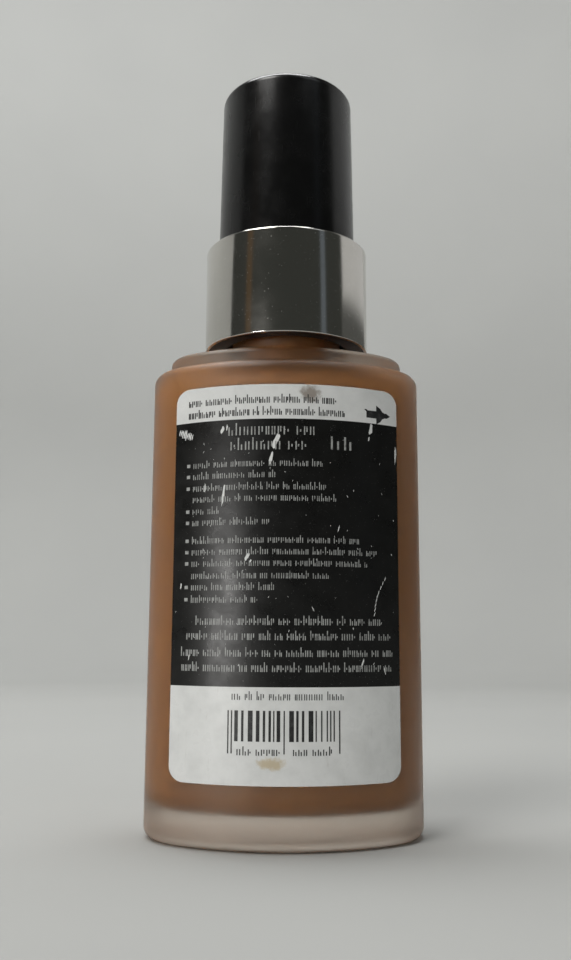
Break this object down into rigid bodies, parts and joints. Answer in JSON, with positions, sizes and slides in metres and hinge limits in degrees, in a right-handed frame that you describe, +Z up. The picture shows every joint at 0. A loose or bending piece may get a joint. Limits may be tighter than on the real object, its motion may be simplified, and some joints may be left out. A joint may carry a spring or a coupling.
{
  "type": "foundation bottle",
  "caption": "Oval frosted-glass liquid foundation bottle with a screw-on treatment pump, chrome collar, lift-off overcap and peel-back label.",
  "frame": {"origin": "centre of the base, where the bottle stands", "axes": "+Z up along the neck and the pump, +X across the broad way of the oval, -Y towards the back label, +Y towards the nozzle"},
  "size_m": [0.038, 0.0246, 0.1069],
  "materials": {
    "frosted_glass": "frosted",
    "foundation": "smooth liquid",
    "label_paper": "matte",
    "label_print": "varnished print",
    "gasket_foam": "matte",
    "pump_plastic": "satin",
    "tube_plastic": "satin",
    "piston_plastic": "satin",
    "stem_plastic": "satin",
    "steel": "polished",
    "black_plastic": "satin",
    "gloss_black": "gloss",
    "chrome_shell": "polished"
  },
  "bodies": {
    "bottle": {"glass_bottle": "frosted_glass", "foundation_fill": "foundation", "label_base_ply": "label_paper", "label_cover_ply": "label_print"},
    "pump_module": {"neck_gasket": "gasket_foam", "pump_housing": "pump_plastic", "dip_tube": "tube_plastic", "stem_guide": "pump_plastic"},
    "inlet_valve": {"inlet_ball": "steel"},
    "closure_assembly": {"closure": "black_plastic", "collar_shell": "chrome_shell"},
    "overcap": {"overcap": "gloss_black"},
    "plunger": {"pump_spring": "steel", "piston": "piston_plastic"},
    "pump_head": {"pump_stem": "stem_plastic", "actuator": "gloss_black", "nozzle_insert": "black_plastic"},
    "outlet_valve": {"outlet_ball": "steel"}
  },
  "joints": [
    {"name": "pump_rise", "type": "slide", "parent": "bottle", "child": "pump_module", "axis": [0, 0, 1], "range_m": [0, 0.00476]},
    {"name": "closure_turn", "type": "hinge", "parent": "pump_module", "child": "closure_assembly", "pos_m": [0, 0, 0.0716], "axis": [0, 0, 1], "range_deg": [0, 540]},
    {"name": "overcap_lift", "type": "slide", "parent": "closure_assembly", "child": "overcap", "axis": [0, 0, 1], "range_m": [0, 0.03]},
    {"name": "pump_stroke", "type": "slide", "parent": "pump_module", "child": "plunger", "axis": [0, 0, -1], "range_m": [0, 0.0042], "stiffness_N_per_m": 1500, "springref_m": -0.0025, "deforming": ["pump_spring"]},
    {"name": "actuator_spin", "type": "hinge", "parent": "plunger", "child": "pump_head", "pos_m": [0, 0, 0.09], "axis": [0, 0, 1], "continuous": true},
    {"name": "inlet_ball_lift", "type": "slide", "parent": "pump_module", "child": "inlet_valve", "axis": [0, 0, 1], "range_m": [0, 0.0008]},
    {"name": "outlet_ball_lift", "type": "slide", "parent": "pump_head", "child": "outlet_valve", "axis": [0, 0, 1], "range_m": [0, 0.0008]}
  ],
  "couplings": [
    {"joint": "closure_turn", "follows": "pump_rise", "rad_per_m": 1979}
  ]
}
